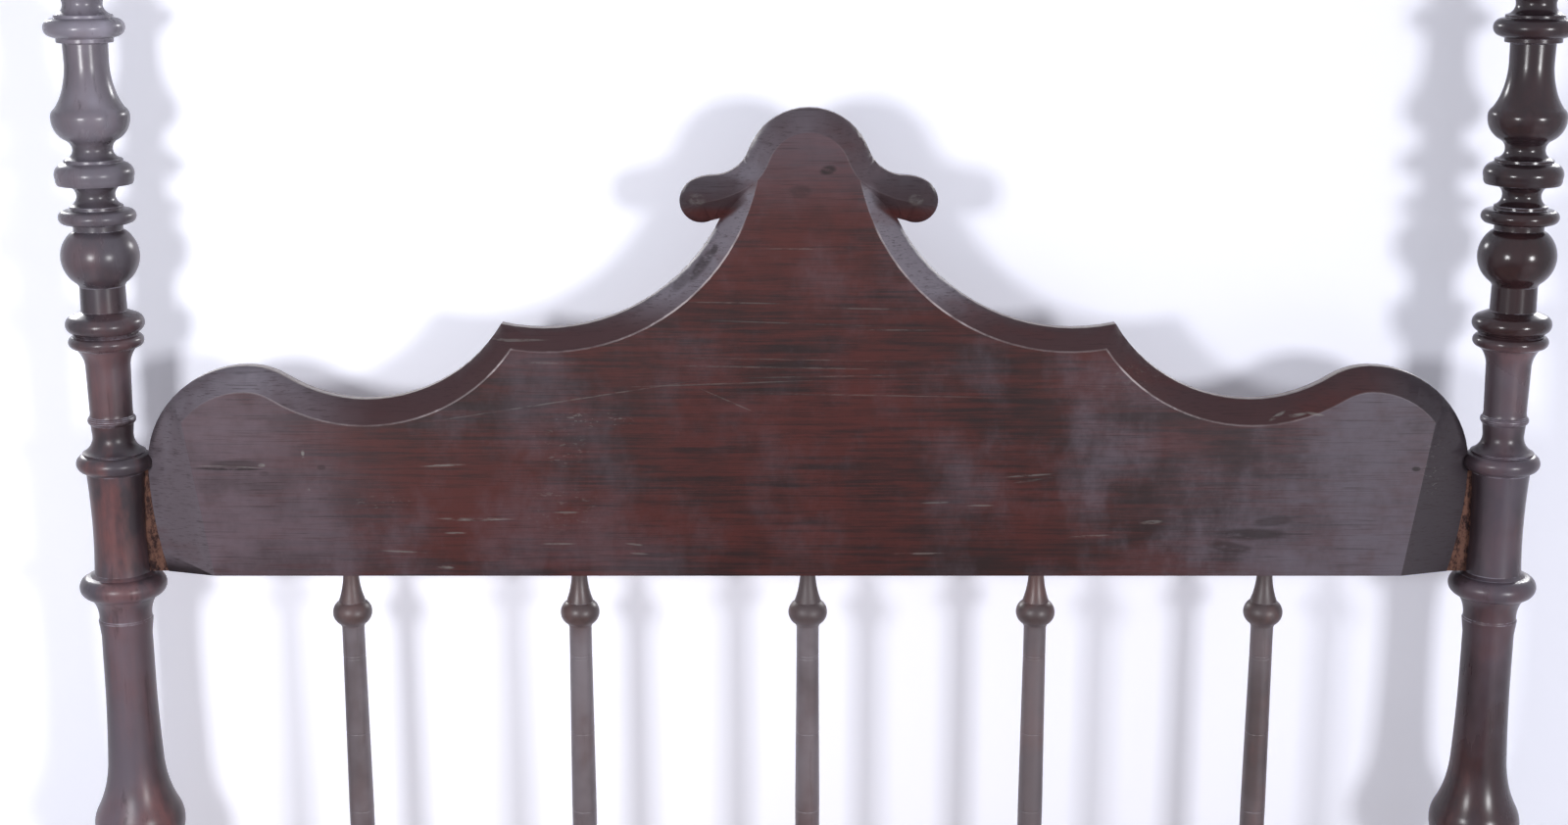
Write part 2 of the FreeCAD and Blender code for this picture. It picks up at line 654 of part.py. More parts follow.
def bolt_cover():
    """Pear-shaped plate with a hollow dome, hanging from one screw over the bolt's hole."""
    back = head_y + half_block + cover_gap
    lean = math.acos((cover_radius - cover_ear_radius) / cover_pivot_rise)
    wide = (cover_radius * math.sin(lean), cover_radius * math.cos(lean))
    narrow = (cover_ear_radius * math.sin(lean), cover_pivot_rise + cover_ear_radius * math.cos(lean))

    def place(x, z):
        return point(post_x + x, back, rail_middle + z)

    outline = Part.Wire([
        Part.Arc(place(-wide[0], wide[1]), place(0, -cover_radius), place(wide[0], wide[1])).toShape(),
        Part.makeLine(place(wide[0], wide[1]), place(narrow[0], narrow[1])),
        Part.Arc(place(narrow[0], narrow[1]), place(0, cover_pivot_rise + cover_ear_radius),
                 place(-narrow[0], narrow[1])).toShape(),
        Part.makeLine(place(-narrow[0], narrow[1]), place(-wide[0], wide[1])),
    ])
    plate = Part.Face(outline).extrude(axis_y * cover_plate)
    inner_radius = cover_dome_radius - cover_wall
    inner_height = cover_dome_height - cover_wall
    plate = plate.cut([
        rod(place(0, 0), axis_y, inner_radius, cover_plate),
        rod(place(0, cover_pivot_rise), axis_y, pivot_radius + running_clearance, cover_plate),
    ])
    dome = turned([(cover_dome_radius, 0), (cover_dome_radius, cover_plate),
                   (0.01, cover_plate + cover_dome_height, cover_dome_height * 0.3)])
    hollow = turned([(inner_radius, 0), (inner_radius, cover_plate),
                     (0.01, cover_plate + inner_height, inner_height * 0.3)])
    shell = dome.cut(hollow)
    shell.rotate(origin, axis_x, -90)
    shell.translate(place(0, 0))
    return joined([plate, shell])


def cover_screw():
    """Round-headed pivot screw of a bolt cover."""
    under_head = head_y + half_block + cover_gap + cover_plate + cover_gap
    start = point(post_x, under_head, rail_middle + cover_pivot_rise)
    tip = head_y + half_block - pivot_length
    head = turned([(pivot_head_radius, 0), (0.01, pivot_head_height, pivot_head_height * 0.4)])
    head.rotate(origin, axis_x, -90)
    head.translate(start)
    return joined([rod(start, -axis_y, pivot_radius, under_head - tip), head])


def four_corners(shape):
    """A piece at +X, +Y and its copies at the other three posts, keyed by their places."""
    return {
        "head_right": shape,
        "head_left": mirrored_x(shape),
        "foot_right": mirrored_y(shape),
        "foot_left": mirrored_x(mirrored_y(shape)),
    }


def build():
    os.makedirs("parts", exist_ok=True)

    board = headboard()
    save("headboard", board)
    head_right = head_post(board)
    foot_right = foot_post()
    save("head_post_right", head_right)
    save("head_post_left", mirrored_x(head_right))
    save("foot_post_right", foot_right)
    save("foot_post_left", mirrored_x(foot_right))

    finial = finial_blank().translated(point(post_x, head_y, 0))
    for place, shape in four_corners(upper_post()).items():
        save("upper_post_" + place, shape)
    for place, shape in four_corners(finial).items():
        save("finial_" + place, shape)

    rail_y = head_y + panel_middle
    save("head_rail", end_rail(rail_y, spindle_places()))
    save("foot_rail", end_rail(-head_y, spindle_places()))
    save("foot_bar", foot_bar())
    tall = spindle(rail_high, panel_bottom, tall_belly)
    short = spindle(rail_high, foot_bar_height - foot_bar_radius, short_belly)
    for number, x in enumerate(spindle_places(), start=1):
        save("head_spindle_%d" % number, tall.translated(point(x, rail_y, 0)))
        save("foot_spindle_%d" % number, short.translated(point(x, -head_y, 0)))

    right_rail = side_rail()
    right_ledge = ledge()
    save("side_rail_right", right_rail)
    save("side_rail_left", mirrored_x(right_rail))
    save("slat_ledge_right", right_ledge)
    save("slat_ledge_left", mirrored_x(right_ledge))
    for index in range(slat_count):
        save("slat_%02d" % (index + 1), slat(index))

    save("bed_bolts", Part.makeCompound(list(four_corners(bed_bolt()).values())))
    save("bolt_nuts", Part.makeCompound(list(four_corners(bolt_nut()).values())))
    for place, shape in four_corners(bolt_cover()).items():
        save("bolt_cover_" + place, shape)
    save("cover_screws", Part.makeCompound(list(four_corners(cover_screw()).values())))
    save("rail_pegs", Part.makeCompound(peg_set()))
    screws = [ledge_screw(side, y) for side in (-1, 1) for y in ledge_screw_places()]
    save("ledge_screws", Part.makeCompound(screws))


build()
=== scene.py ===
import math
import bmesh
import bpy
from mathutils import Matrix, Vector


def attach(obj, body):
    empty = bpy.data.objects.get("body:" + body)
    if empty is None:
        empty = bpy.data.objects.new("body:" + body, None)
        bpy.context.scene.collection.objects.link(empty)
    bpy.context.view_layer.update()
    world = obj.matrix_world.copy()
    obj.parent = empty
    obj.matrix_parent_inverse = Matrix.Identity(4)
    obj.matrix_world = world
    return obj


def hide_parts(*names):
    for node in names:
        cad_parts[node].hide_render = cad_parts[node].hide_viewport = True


# A spindle bed with four turned posts. Metres, Z up, the head end at +Y.
# Lathe profiles are written in millimetres, as (radius, height) or (radius, height, bulge).

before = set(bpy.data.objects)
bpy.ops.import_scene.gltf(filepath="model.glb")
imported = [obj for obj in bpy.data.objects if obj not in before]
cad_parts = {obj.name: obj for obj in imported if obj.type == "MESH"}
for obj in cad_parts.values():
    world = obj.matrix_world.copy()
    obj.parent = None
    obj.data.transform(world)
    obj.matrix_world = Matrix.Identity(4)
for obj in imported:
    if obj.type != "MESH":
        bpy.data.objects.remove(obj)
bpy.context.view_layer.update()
mm = 0.001

bed = {
    "postX": 0.720,            # post axes from the middle
    "postY": 0.990,
    "railMiddleY": 0.988,      # middle of the board's and the head rail's thickness
    "boardBottom": 978.8,
    "railTop": 450.0,
    "footBarBottom": 678.0,    # the foot bar's underside, where its spindles end
    "blockLow": 249.0,         # square block, its turned corners included
    "blockHigh": 593.0,
}
corners = {
    "head_left": (-1, 1),
    "head_right": (1, 1),
    "foot_left": (-1, -1),
    "foot_right": (1, -1),
}


class Wire:
    # one output of a node, with arithmetic that adds Math nodes behind it
    def __init__(self, tree, socket):
        self.tree = tree
        self.socket = socket

    def node(self, kind, settings=None, inputs=None, output=0):
        made = self.tree.nodes.new(kind)
        for name, value in (settings or {}).items():
            setattr(made, name, value)
        for name, value in (inputs or {}).items():
            if isinstance(value, Wire):
                self.tree.links.new(value.socket, made.inputs[name])
            else:
                made.inputs[name].default_value = value
        return Wire(self.tree, made.outputs[output] if made.outputs else None)

    def each(self):
        return [Wire(self.tree, socket) for socket in self.socket.node.outputs]

    def math(self, operation, first, second=0.0):
        return self.node("ShaderNodeMath", {"operation": operation}, {0: first, 1: second})

    def __add__(self, other):
        return self.math("ADD", self, other)

    def __radd__(self, other):
        return self.math("ADD", other, self)

    def __sub__(self, other):
        return self.math("SUBTRACT", self, other)

    def __rsub__(self, other):
        return self.math("SUBTRACT", other, self)

    def __mul__(self, other):
        return self.math("MULTIPLY", self, other)

    def __rmul__(self, other):
        return self.math("MULTIPLY", other, self)

    def least(self, other):
        return self.math("MINIMUM", self, other)

    def most(self, other):
        return self.math("MAXIMUM", self, other)

    def size(self):
        return self.math("ABSOLUTE", self)

    def ramp(self, low, high, start=0.0, end=1.0):
        # smooth step from start to end while the value goes from low to high
        return self.node("ShaderNodeMapRange", {"interpolation_type": "SMOOTHSTEP"},
                         {"Value": self, "From Min": low, "From Max": high, "To Min": start, "To Max": end})


def startMaterial(name):
    material = bpy.data.materials.new(name)
    material.use_nodes = True
    tree = material.node_tree
    tree.nodes.clear()
    place = Wire(tree, None).node("ShaderNodeTexCoord", output=3)
    return material, place


def faceMark(place, name):
    return place.node("ShaderNodeAttribute", {"attribute_name": name}, output=2)


def split(place):
    return place.node("ShaderNodeSeparateXYZ", None, {0: place}).each()


def noise(place, scale, stretch=(1, 1, 1), detail=4.0, rough=0.55, twist=0.0, shift=(0, 0, 0)):
    moved = place.node("ShaderNodeMapping", None, {"Vector": place, "Location": shift, "Scale": stretch})
    return place.node("ShaderNodeTexNoise", None, {"Vector": moved, "Scale": scale, "Detail": detail,
                                                   "Roughness": rough, "Distortion": twist})


def blendColour(mask, first, second, mode="MIX"):
    def full(colour):
        return colour if isinstance(colour, Wire) else (*colour, 1.0)
    return mask.node("ShaderNodeMix", {"data_type": "RGBA", "blend_type": mode, "clamp_factor": True},
                     {0: mask, 6: full(first), 7: full(second)}, output=2)


def endMaterial(material, place, colour, roughness, height=None, depth=0.0004, **constants):
    inputs = {"Base Color": colour, "Roughness": roughness}
    if height is not None:
        inputs["Normal"] = place.node("ShaderNodeBump", None,
                                      {"Height": height, "Distance": depth, "Strength": 1.0})
    inputs.update(constants)
    shader = place.node("ShaderNodeBsdfPrincipled", None, inputs)
    place.node("ShaderNodeOutputMaterial", None, {"Surface": shader})
    return material


ovalShape = {
    "faceY": 0.985,            # inside the board
    "halfDepth": 0.5,
    "fade": (1.15, 0.55),      # from nothing to full, in half lengths from the middle
}


def ovals(place, marks):
    # soft ovals on the board; each is (x, z, half length, half height, turn, strength), in mm and degrees
    total = None
    for markX, markZ, halfLength, halfHeight, turn, strength in marks:
        settled = {"Vector": place, "Location": (markX * mm, ovalShape["faceY"], markZ * mm),
                   "Rotation": (0, math.radians(-turn), 0),
                   "Scale": (halfLength * mm, ovalShape["halfDepth"], halfHeight * mm)}
        local = place.node("ShaderNodeMapping", {"vector_type": "TEXTURE"}, settled)
        away = place.node("ShaderNodeVectorMath", {"operation": "LENGTH"}, {0: local}, output=1)
        mark = away.ramp(*ovalShape["fade"], 0.0, strength)
        total = mark if total is None else total.most(mark)
    return total


panelFinish = {
    "red": (0.060, 0.0130, 0.0115),
    "dark": (0.0160, 0.0066, 0.0074),
    "wiped": (0.118, 0.094, 0.118),
    # these two hazy colours are painted sheen at the board's two ends; the left one also tints the crest's face
    "leftHazeAndSheen": (0.110, 0.080, 0.098),
    "rightHazeAndSheen": (0.098, 0.085, 0.108),
    "slopeDark": (0.038, 0.0150, 0.0165),
    "slopeGreySheen": (0.158, 0.142, 0.170),
    "slopeBlack": (0.030, 0.027, 0.034),
    "rim": (0.30, 0.27, 0.26),
    "worn": (0.36, 0.31, 0.32),
    "scratchAndGlint": (0.22, 0.215, 0.205),
    "bare": (0.125, 0.060, 0.044),
    "stainAndShadow": (0.012, 0.007, 0.008),
    "rough": 0.38,
    "shine": 0.26,
    "paleMarks": [             # these four lists hold ovals, as explained above
        (-563.7, 1097.8, 4, 2.2, 0, 1.0), (-520.7, 1111, 1.8, 3.4, 0, 1.0), (-520.5, 1105, 1.8, 2.4, 0, 0.9),
        (-516.5, 1071.7, 1.8, 1.8, 0, 0.9), (-338, 1040, 33, 1.7, 1, 0.8), (-362, 1040.5, 24, 1.3, -1, 0.5),
        (-377.7, 1097.8, 24, 1.4, 2, 0.7), (-366.1, 1025.3, 12, 1.2, 0, 0.6), (-420.8, 1005.1, 24, 1.2, -3, 0.6),
        (-377.6, 988.1, 9, 1.8, -4, 0.7), (-250.5, 1047.5, 14, 1.2, 0, 0.5), (-259.4, 1013.6, 18, 1.2, 0, 0.5),
        # the soft ovals at (-112.5, 1371.8) and (107.7, 1372.8) are painted highlights at the ends of the ears'
        # ridges, partly worn chips
        (-180, 1013, 11, 1.2, -6, 0.5), (-176, 1003, 10, 1.2, -4, 0.4), (-112.5, 1371.8, 9, 7, 0, 0.35),
        (107.7, 1372.8, 8, 7, 0, 0.40), (228, 1087, 26, 1.2, 4, 0.5), (232, 1082, 20, 1.2, 8, 0.4),
        (178, 1054.9, 15, 1.2, 0, 0.5), (132.3, 1058, 16, 1.2, 2, 0.4), (291.7, 1022, 22, 1.2, 3, 0.5),
        (356.4, 1036.9, 12, 2.2, 4, 0.7), (113.8, 1003, 30, 1.2, 1, 0.5), (-300, 1228, 34, 1.5, 0, 0.5),
        (-265, 1206, 30, 1.3, 0, 0.4), (482, 1149, 10, 1.8, 28, 0.8), (500, 1150, 14, 1.6, 12, 0.8),
        (520, 1152, 10, 1.6, -8, 0.7),
    ],
    "speckled": [(-221, 1146, 46, 9, 0, 0.9), (-255, 1118, 30, 24, 0, 0.45), (-255, 1052, 42, 26, 0, 0.35),
                 (-440, 1058, 34, 9, 0, 0.5), (645, 1096, 16, 34, 0, 0.55), (330, 1190, 40, 14, 10, 0.35)],
    "longLines": [(-262, 1164, 150, 0.9, 9, 0.40), (-82, 1166, 32, 0.9, -24, 0.35),
                  (-30, 1201, 120, 0.9, -1, 0.40), (40, 1192, 110, 0.9, 1, 0.35),
                  (-90, 1184, 105, 0.9, 2, 0.35), (0, 1209, 135, 0.8, -1, 0.30),
                  (60, 1172, 140, 0.9, -1, 0.30), (-5, 1323.2, 42, 0.9, 0, 0.40), (-75, 1268, 62, 0.9, -1, 0.35),
                  (55, 1262, 66, 0.9, -1, 0.35), (-20, 1247, 90, 0.8, -2, 0.30), (90, 1240, 45, 0.9, 0, 0.35),
                  (-598.2, 1096.4, 34, 1.1, -2, 0.75)],
    "darkMarks": [(19.1, 1402.5, 9, 5, 12, 0.9), (-9, 1381, 13, 7, 0, 0.45), (-502.2, 1095.7, 5, 3, 0, 0.45),
                  (-562, 1089, 6, 3, 0, 0.30), (627.2, 1094, 5, 3, 0, 0.9), (461, 1024, 42, 7, 0, 0.75),
                  (439, 1010, 26, 6, -8, 0.6), (483, 1038, 24, 6, 6, 0.55), (-598, 1094, 40, 1.5, -1, 1.0),
                  # the three slanting marks below the left ear, at (-108, 1306), (-96, 1321) and (-128, 1289), are
                  # painted shadow
                  (-590, 1099, 30, 5, 0, 0.55), (-108, 1306, 6, 26, -38, 0.6), (-96, 1321, 4, 7, -30, 0.7),
                  (-128, 1289, 6, 18, -45, 0.45), (12, 1350, 16, 18, 0, 0.25)],
}
boardPlaces = {                # where the board's look changes, from nothing to full, in metres
    "leftEnd": (-0.36, -0.66),
    "rightEnd": (0.24, 0.62),
    "rightEndHeight": 1.05,    # the haze at the right reaches furthest in at this height
    "low": (1.12, 0.98),
    "wipedRight": (0.05, 0.40),
    "wipedLeft": (-0.10, -0.50),
    "crestFace": (1.34, 1.45),
    "leftSlope": (-0.585, -0.655),
    "rightSlope": (0.56, 0.64),
    "shoulder": (-0.44, -0.58),
    "sweepSpan": (0.25, 0.13),
    "sweepFoot": (1.235, 1.29),
    "sweepTop": (1.40, 1.37),
    "crest": (1.37, 1.40),
    "crestSides": (0.02, 0.06),
    "crestRight": (-0.01, 0.05),
    "earMitre": 0.79,          # fall of the line between ears and crest, for each metre sideways
    "earLine": (1.415, 1.422),
    "earSpan": (0.058, 0.075),
    "earTop": (1.402, 1.388),
    "earFoot": (1.318, 1.326),
    "earUnder": (1.368, 1.358),
    "earOver": (1.358, 1.368),
    "rubbedSweep": (0.22, 0.15),
    "rubbedBowl": (0.295, 0.310),
    "rubbedBowlEnd": (0.43, 0.36),
    "rubbedRest": (0.62, 0.54),
    "rubbedTop": (1.352, 1.332),
}


def panelWood():
    material, place = startMaterial("panel_mahogany")
    at = boardPlaces
    x, y, z = split(place)
    cloud = noise(place, 6.0, (1.15, 1.0, 0.75), detail=5, rough=0.60, shift=(1.3, 0, 4.4))
    patch = noise(place, 7.0, (0.55, 1.0, 1.5), detail=6, rough=0.68, shift=(3.1, 0, 0))
    grain = noise(place, 62.0, (0.13, 1.0, 4.2), detail=7, rough=0.74, shift=(0, 0, 1.7))
    fine = noise(place, 300.0, (0.05, 1.0, 2.2), detail=3, rough=0.6)
    slope = faceMark(place, "slope")
    worn = faceMark(place, "worn")
    bare = faceMark(place, "bare")

    # polished face: red in the middle, with soft upright wipes; the pale haze towards both ends is painted sheen
    leftEnd = (x + (cloud - 0.5) * 0.40 + (patch - 0.5) * 0.3).ramp(*at["leftEnd"])
    rightEnd = x - (z - at["rightEndHeight"]).size() * 0.15 + (cloud - 0.5) * 0.40 + (patch - 0.5) * 0.3
    rightEnd = rightEnd.ramp(*at["rightEnd"])
    mottle = patch * 0.55 + grain * 0.45
    colour = blendColour(mottle.ramp(0.41, 0.57), panelFinish["dark"], panelFinish["red"])
    wipe = noise(place, 13.0, (1.0, 1.0, 0.75), detail=5, rough=0.65, shift=(0.6, 0, 2.2))
    low = z.ramp(*at["low"])
    wiped = (wipe * 0.6 + cloud * 0.4 + low * 0.045).ramp(0.46, 0.68) * (0.30 + grain * 0.9)
    wiped = wiped * (0.38 + x.ramp(*at["wipedRight"]) * 0.50 + x.ramp(*at["wipedLeft"]) * 0.18)
    colour = blendColour(wiped, colour, panelFinish["wiped"])
    blotch = (patch * 0.6 + wipe * 0.4).ramp(0.40, 0.58, 0.45, 0.92)
    colour = blendColour(leftEnd * blotch, colour, panelFinish["leftHazeAndSheen"])
    colour = blendColour(rightEnd * blotch, colour, panelFinish["rightHazeAndSheen"])
    colour = blendColour(z.ramp(*at["crestFace"]) * 0.62, colour, panelFinish["leftHazeAndSheen"])

    # sloped edge: dark over the low curves; the grey on the shoulders, the left slope, the sweeps and the crest is
    # painted sheen
    leftSide = x.ramp(*at["leftSlope"])
    rightSide = x.ramp(*at["rightSlope"])
    sweeps = x.size().ramp(*at["sweepSpan"]) * z.ramp(*at["sweepFoot"]) * z.ramp(*at["sweepTop"])
    crest = z.ramp(*at["crest"]) * (0.42 + x.size().ramp(*at["crestSides"]) * 0.30)
    shoulder = x.ramp(*at["shoulder"])
    crest = crest * x.ramp(*at["crestRight"], 1.0, 0.45)
    ears = (z + x.size() * at["earMitre"]).ramp(*at["earLine"]) * x.size().ramp(*at["earSpan"])
    ears = ears * z.ramp(*at["earTop"]) * z.ramp(*at["earFoot"])
    crest = crest.least(1.0 - ears * 0.75)
    slopeSheen = (leftSide * 0.82).most(shoulder * 0.85).most(rightSide * 0.16)
    slopeSheen = slopeSheen.most(sweeps * (1.0 - ears)).most(crest) + 0.03
    slopeSheen = slopeSheen * cloud.ramp(0.36, 0.64, 0.60, 1.25)
    edge = blendColour(slopeSheen.least(0.95), panelFinish["slopeDark"], panelFinish["slopeGreySheen"])
    redder = patch.ramp(0.50, 0.66) * (1.0 - rightSide) * 0.45
    edge = blendColour(redder.most(ears * z.ramp(*at["earUnder"]) * 0.60), edge, panelFinish["red"])
    blacker = (rightSide * 0.75).most(ears * z.ramp(*at["earOver"]) * 0.45)
    edge = blendColour(blacker, edge, panelFinish["slopeBlack"])
    colour = blendColour(slope, colour, edge)
    rim = faceMark(place, "rim")
    colour = blendColour(rim * cloud.ramp(0.35, 0.60, 0.5, 0.9), colour, panelFinish["rim"])

    # grain lines, blemishes and scratches, with painted highlights on the ears and painted shadow below the left
    # ear
    colour = blendColour(grain.ramp(0.54, 0.68) * 0.32, colour, panelFinish["dark"])
    colour = blendColour(fine.ramp(0.54, 0.68) * 0.45, colour, panelFinish["dark"])
    speck = noise(place, 420.0, (0.35, 1, 1.0), detail=2, rough=0.5, shift=(0, 2, 0))
    torn = noise(place, 120.0, (0.3, 1, 1.6), detail=4, rough=0.7, shift=(5, 0, 2))
    stainsAndShadow = ovals(place, panelFinish["darkMarks"]) * torn.ramp(0.30, 0.50)
    colour = blendColour(stainsAndShadow, colour, panelFinish["stainAndShadow"])
    pale = ovals(place, panelFinish["paleMarks"]) * torn.ramp(0.38, 0.56)
    lines = ovals(place, panelFinish["longLines"]) * torn.ramp(0.42, 0.58, 0.1, 0.85)
    specks = ovals(place, panelFinish["speckled"]) * speck.ramp(0.60, 0.70)
    scratchAndGlint = pale.most(lines).most(specks * 0.55)
    colour = blendColour(scratchAndGlint * 0.62, colour, panelFinish["scratchAndGlint"])
    # the front edge is rubbed pale along the sweeps and the upper bowls
    rub = noise(place, 22.0, detail=5, rough=0.7, shift=(4, 4, 4))
    across = x.size()
    bowls = across.ramp(*at["rubbedBowl"]) * across.ramp(*at["rubbedBowlEnd"])
    rubbed = across.ramp(*at["rubbedSweep"]).most(bowls).most(across.ramp(*at["rubbedRest"]) * 0.25)
    rubbed = rubbed * z.ramp(*at["rubbedTop"]) * rub.ramp(0.40, 0.60, 0.25, 0.90)
    colour = blendColour(worn * rubbed, colour, panelFinish["worn"])
    sawn = noise(place, 150.0, (1, 1, 0.6), detail=6, rough=0.8)
    bareColour = blendColour(sawn.ramp(0.42, 0.60), panelFinish["bare"], panelFinish["dark"])
    colour = blendColour(bare, colour, bareColour)
    roughness = panelFinish["rough"] + cloud.ramp(0.4, 0.7) * 0.10 + grain * 0.08 + bare * 0.4
    height = grain * 0.35 + fine * 0.25 + sawn * bare * 1.5
    shine = {"Specular IOR Level": panelFinish["shine"]}
    return endMaterial(material, place, colour, roughness, height, 0.00022, **shine)


postFinish = {
    "body": (0.0190, 0.0110, 0.0135),
    "red": (0.150, 0.044, 0.036),
    "haze": (0.112, 0.094, 0.122),
    "paleGlare": (0.295, 0.280, 0.340),
    "rough": 0.16,
    "shine": 0.34,
}
postPlaces = {                 # where the posts' look changes, from nothing to full, in metres
    "left": (0.2, -0.4),
    "lower": (1.24, 1.18),     # the lower sections
    "shaft": (0.96, 0.90),
    "neckFoot": (1.12, 1.16),
    "neckTop": (1.235, 1.21),
    "headEnd": (-0.6, 0.6),
    "paleGlare": (1.25, 1.58),
    "paleGlareVase": (1.455, 1.475),
    "front": (0.961, 0.979),
}


def postWood():
    material, place = startMaterial("post_mahogany")
    at = postPlaces
    x, y, z = split(place)
    cloud = noise(place, 7.0, (1, 1, 0.7), detail=4, rough=0.6)
    streak = noise(place, 85.0, (1.0, 1.0, 0.08), detail=5, rough=0.65)
    patch = noise(place, 13.0, (1, 1, 0.45), detail=5, rough=0.62, shift=(2.3, 1.1, 0.4))
    rings = noise(place, 130.0, (0.02, 0.02, 1.0), detail=3, rough=0.6)
    left = x.ramp(*at["left"])
    lower = z.ramp(*at["lower"])
    shaft = z.ramp(*at["shaft"]) * (0.25 + left * 0.60)
    neck = z.ramp(*at["neckFoot"]) * z.ramp(*at["neckTop"]) * 0.75
    red = patch.ramp(0.42, 0.58) * (0.10 + left * 0.20 + lower * (0.35 + left * 0.25))
    red = red.most(shaft.most(neck) * patch.ramp(0.36, 0.54, 0.4, 1.0))
    colour = blendColour(red * streak.ramp(0.3, 0.6, 0.55, 1.0), postFinish["body"], postFinish["red"])
    haze = cloud.ramp(0.38, 0.64, 0.15, 1.0) * (0.08 + left * 0.04 + lower * 0.55 + neck * 0.35)
    colour = blendColour(haze, colour, postFinish["haze"])
    # painted glare: a pale haze on the posts at the left, more so higher up and at the head end
    paintedGlare = left * y.ramp(*at["headEnd"], 0.45, 1.0)
    paintedGlare = paintedGlare * (0.10 + z.ramp(*at["paleGlare"]) * 0.55 + z.ramp(*at["paleGlareVase"]) * 0.28)
    paintedGlare = (paintedGlare * cloud.ramp(0.32, 0.60, 0.60, 1.15)).most(neck * 0.20)
    colour = blendColour(paintedGlare, colour, postFinish["paleGlare"])
    colour = blendColour(streak.ramp(0.56, 0.72) * 0.45, colour, postFinish["body"])
    # painted shade: the head posts are darker round their sides and back than in front
    sideShade = y.ramp(*at["front"]) * patch.ramp(0.35, 0.60, 0.85, 0.55)
    colour = blendColour(sideShade, colour, postFinish["body"])
    worn = faceMark(place, "worn")
    rub = noise(place, 40.0, detail=5, rough=0.7)
    # worn edges are rubbed pale, in the same colour as the painted glare
    colour = blendColour(worn * rub.ramp(0.45, 0.65) * 0.6, colour, postFinish["paleGlare"])
    roughness = postFinish["rough"] + cloud.ramp(0.4, 0.7) * 0.06 + left * 0.06 + lower * 0.08 + streak * 0.05
    height = streak * 0.5 + rings * 0.35
    shine = {"Specular IOR Level": postFinish["shine"]}
    return endMaterial(material, place, colour, roughness, height, 0.00012, **shine)


def straightWood(name, finish, stretch):
    material, place = startMaterial(name)
    x, y, z = split(place)
    cloud = noise(place, 9.0, (1, 1, 0.8), detail=4, rough=0.6)
    streak = noise(place, 110.0, stretch, detail=5, rough=0.65)
    patch = noise(place, 15.0, (1, 1, 0.7), detail=5, rough=0.6, shift=(2.3, 1.1, 0.4))
    red = patch.ramp(0.44, 0.64) * streak.ramp(0.3, 0.6, 0.5, 1.0) * x.ramp(-0.3, 0.5, 0.55, 1.0)
    colour = blendColour(red, finish["body"], finish["red"])
    haze = cloud.ramp(0.32, 0.60, 0.35, 1.0) * x.ramp(0.05, 0.3, 0.95, 0.55) * z.ramp(0.935, 0.915, 0.12, 1.0)
    colour = blendColour(haze, colour, finish["haze"])
    colour = blendColour(streak.ramp(0.56, 0.72) * 0.4, colour, finish["body"])
    worn = faceMark(place, "worn")
    rub = noise(place, 40.0, detail=5, rough=0.7)
    colour = blendColour(worn * rub.ramp(0.45, 0.65) * 0.8, colour, finish["haze"])
    roughness = finish["rough"] + cloud.ramp(0.4, 0.7) * 0.12 + streak * 0.06
    height = streak * 0.6 + noise(place, 300.0, detail=2) * 0.25
    return endMaterial(material, place, colour, roughness, height, 0.00015, **{"Specular IOR Level": 0.5})


slatFinish = {
    "pale": (0.36, 0.235, 0.140),
    "ring": (0.22, 0.125, 0.068),
    "dirt": (0.12, 0.075, 0.050),
    "rough": 0.62,
}


def bareWood(name, stretch):
    material, place = startMaterial(name)
    cloud = noise(place, 5.0, (1, 1, 1), detail=4, rough=0.6)
    ring = noise(place, 55.0, stretch, detail=4, rough=0.55, twist=0.4)
    fibre = noise(place, 380.0, stretch, detail=3, rough=0.6)
    colour = blendColour(ring.ramp(0.40, 0.66), slatFinish["pale"], slatFinish["ring"])
    colour = blendColour(cloud.ramp(0.52, 0.75) * 0.55, colour, slatFinish["dirt"])
    colour = blendColour(fibre.ramp(0.55, 0.75) * 0.4, colour, slatFinish["ring"])
    roughness = slatFinish["rough"] + fibre * 0.2
    return endMaterial(material, place, colour, roughness, ring * 0.4 + fibre * 0.6, 0.0004)


metalFinish = {
    "iron": (0.060, 0.058, 0.056),
    "rust": (0.110, 0.045, 0.022),
    "brass": (0.50, 0.33, 0.13),
    "tarnish": (0.13, 0.085, 0.045),
}


def boltIron():
    material, place = startMaterial("blackened_iron")
    spot = noise(place, 120.0, detail=6, rough=0.7)
    scale = noise(place, 600.0, detail=3)
    rust = spot.ramp(0.52, 0.66)
    colour = blendColour(rust, metalFinish["iron"], metalFinish["rust"])
    return endMaterial(material, place, colour, 0.42 + rust * 0.35, spot + scale * 0.4, 0.0002,
                       Metallic=1 - rust * 0.8)


def coverBrass():
    material, place = startMaterial("aged_brass")
    spot = noise(place, 70.0, detail=6, rough=0.65)
    brush = noise(place, 900.0, (1, 1, 0.15), detail=2)
    old = spot.ramp(0.44, 0.68)
    colour = blendColour(old * 0.85, metalFinish["brass"], metalFinish["tarnish"])
    return endMaterial(material, place, colour, 0.26 + old * 0.30 + brush * 0.06, spot + brush * 0.3, 0.00008,
                       Metallic=0.95)


